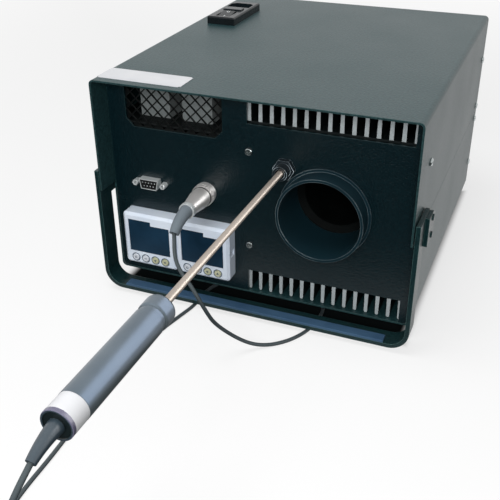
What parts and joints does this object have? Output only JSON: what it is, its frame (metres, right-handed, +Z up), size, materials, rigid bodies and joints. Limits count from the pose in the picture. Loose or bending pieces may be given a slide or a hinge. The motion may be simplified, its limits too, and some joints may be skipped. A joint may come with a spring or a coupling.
{
  "type": "dry block temperature calibrator",
  "caption": "Portable dry block heater in a dark painted sheet case with a recessed panel, finned heat sinks, a horizontal well, two controllers, a carry strap and a plugged-in probe.",
  "frame": {"origin": "on the standing plane under the middle of the case", "axes": "+X to the right, +Y to the rear, +Z up; the well opens towards -Y"},
  "size_m": [0.2732, 0.6464, 0.1972],
  "materials": {
    "cover_paint": "fine textured dark paint",
    "panel_paint": "matt black paint",
    "collar_black": "black anodised tube",
    "strap_paint": "satin black paint",
    "grip_foam": "blue grey foam strip",
    "screw_steel": "zinc plated",
    "washer_nylon": "natural nylon",
    "foot_rubber": "moulded rubber",
    "mesh_paint": "black paint",
    "sheet_steel": "galvanised",
    "sink_aluminium": "extruded",
    "block_aluminium": "machined",
    "supply_case": "light grey",
    "jacket_foam": "closed cell foam",
    "module_ceramic": "white ceramic",
    "board_green": "solder mask",
    "bezel_plastic": "light grey moulding",
    "sleeve_plastic": "black moulding",
    "display_plastic": "dark tinted window",
    "button_white": "white key",
    "button_yellow": "yellow key",
    "connector_metal": "satin nickel plate",
    "insert_plastic": "black insulator",
    "gland_plastic": "black nylon",
    "boot_rubber": "flexible boot",
    "stem_steel": "bright drawn",
    "probe_plastic": "blue grey",
    "band_white": "white sleeve",
    "lead_sheath": "grey sheath",
    "inlet_plastic": "black moulding"
  },
  "bodies": {
    "case": {"upper_cover": "cover_paint", "lower_tray": "cover_paint", "front_panel": "panel_paint", "rear_panel": "panel_paint", "well_collar": "collar_black", "case_screws": "screw_steel", "panel_screws": "screw_steel", "clamp_bolts": "screw_steel", "serial_posts": "screw_steel", "pivot_studs": "screw_steel", "inlet_pins": "screw_steel", "pivot_washers": "washer_nylon", "base_feet": "foot_rubber", "rear_feet": "foot_rubber", "vent_mesh": "mesh_paint", "fan_guard": "mesh_paint", "inner_partition": "sheet_steel", "upper_heat_sink": "sink_aluminium", "lower_heat_sink": "sink_aluminium", "heat_block": "block_aluminium", "power_supplies": "supply_case", "block_insulation": "jacket_foam", "thermoelectric_modules": "module_ceramic", "control_board": "board_green", "left_bezel": "bezel_plastic", "right_bezel": "bezel_plastic", "controller_sleeves": "sleeve_plastic", "fan_frame": "sleeve_plastic", "left_display": "display_plastic", "right_display": "display_plastic", "serial_shell": "connector_metal", "sensor_socket": "connector_metal", "plug_shell": "connector_metal", "serial_insert": "insert_plastic", "probe_gland": "gland_plastic", "probe_gland_nut": "gland_plastic", "plug_boot": "boot_rubber", "probe_lead": "lead_sheath", "inlet_housing": "inlet_plastic"},
    "strap": {"carry_strap": "strap_paint", "doubler_plates": "strap_paint", "plate_rivets": "screw_steel", "grip_strip": "grip_foam"},
    "probe": {"probe_stem": "stem_steel", "probe_cap": "probe_plastic", "probe_handle": "probe_plastic", "probe_band": "band_white", "probe_bush": "boot_rubber"},
    "coupling_ring": {"plug_ring": "connector_metal"},
    "rotor": {"fan_rotor": "sleeve_plastic"},
    "rocker": {"power_rocker": "inlet_plastic"},
    "drawer": {"fuse_drawer": "inlet_plastic"},
    "key_left_1": {"left_button_1": "button_white"},
    "key_left_2": {"left_button_2": "button_white"},
    "key_right_1": {"right_button_1": "button_white"},
    "key_right_2": {"right_button_2": "button_white"},
    "key_left_3": {"left_button_3": "button_yellow"},
    "key_left_4": {"left_button_4": "button_yellow"},
    "key_right_3": {"right_button_3": "button_yellow"},
    "key_right_4": {"right_button_4": "button_yellow"}
  },
  "joints": [
    {"name": "strap_swing", "type": "hinge", "parent": "case", "child": "strap", "pos_m": [0, -0.121, 0.1], "axis": [-1, 0, 0], "range_deg": [0, 60]},
    {"name": "probe_slide", "type": "slide", "parent": "case", "child": "probe", "axis": [0, -1, 0], "range_m": [0, 0.1], "deforming": ["probe_lead"]},
    {"name": "ring_turn", "type": "hinge", "parent": "case", "child": "coupling_ring", "pos_m": [-0.0431, -0.134, 0.0995], "axis": [0, -1, 0], "range_deg": [0, 90]},
    {"name": "fan_spin", "type": "hinge", "parent": "case", "child": "rotor", "pos_m": [0.056, 0.138, 0.0995], "axis": [0, 1, 0], "continuous": true},
    {"name": "rocker_switch", "type": "hinge", "parent": "case", "child": "rocker", "pos_m": [-0.0995, 0.046, 0.1935], "axis": [-1, 0, 0], "range_deg": [0, 16]},
    {"name": "fuse_pull", "type": "slide", "parent": "case", "child": "drawer", "axis": [0, 0, 1], "range_m": [0, 0.014]},
    {"name": "left_key_1_press", "type": "slide", "parent": "case", "child": "key_left_1", "axis": [0, 1, 0], "range_m": [0, 0.0008], "stiffness_N_per_m": 400},
    {"name": "left_key_2_press", "type": "slide", "parent": "case", "child": "key_left_2", "axis": [0, 1, 0], "range_m": [0, 0.0008], "stiffness_N_per_m": 400},
    {"name": "right_key_1_press", "type": "slide", "parent": "case", "child": "key_right_1", "axis": [0, 1, 0], "range_m": [0, 0.0008], "stiffness_N_per_m": 400},
    {"name": "right_key_2_press", "type": "slide", "parent": "case", "child": "key_right_2", "axis": [0, 1, 0], "range_m": [0, 0.0008], "stiffness_N_per_m": 400},
    {"name": "left_key_3_press", "type": "slide", "parent": "case", "child": "key_left_3", "axis": [0, 1, 0], "range_m": [0, 0.0008], "stiffness_N_per_m": 400},
    {"name": "left_key_4_press", "type": "slide", "parent": "case", "child": "key_left_4", "axis": [0, 1, 0], "range_m": [0, 0.0008], "stiffness_N_per_m": 400},
    {"name": "right_key_3_press", "type": "slide", "parent": "case", "child": "key_right_3", "axis": [0, 1, 0], "range_m": [0, 0.0008], "stiffness_N_per_m": 400},
    {"name": "right_key_4_press", "type": "slide", "parent": "case", "child": "key_right_4", "axis": [0, 1, 0], "range_m": [0, 0.0008], "stiffness_N_per_m": 400}
  ]
}
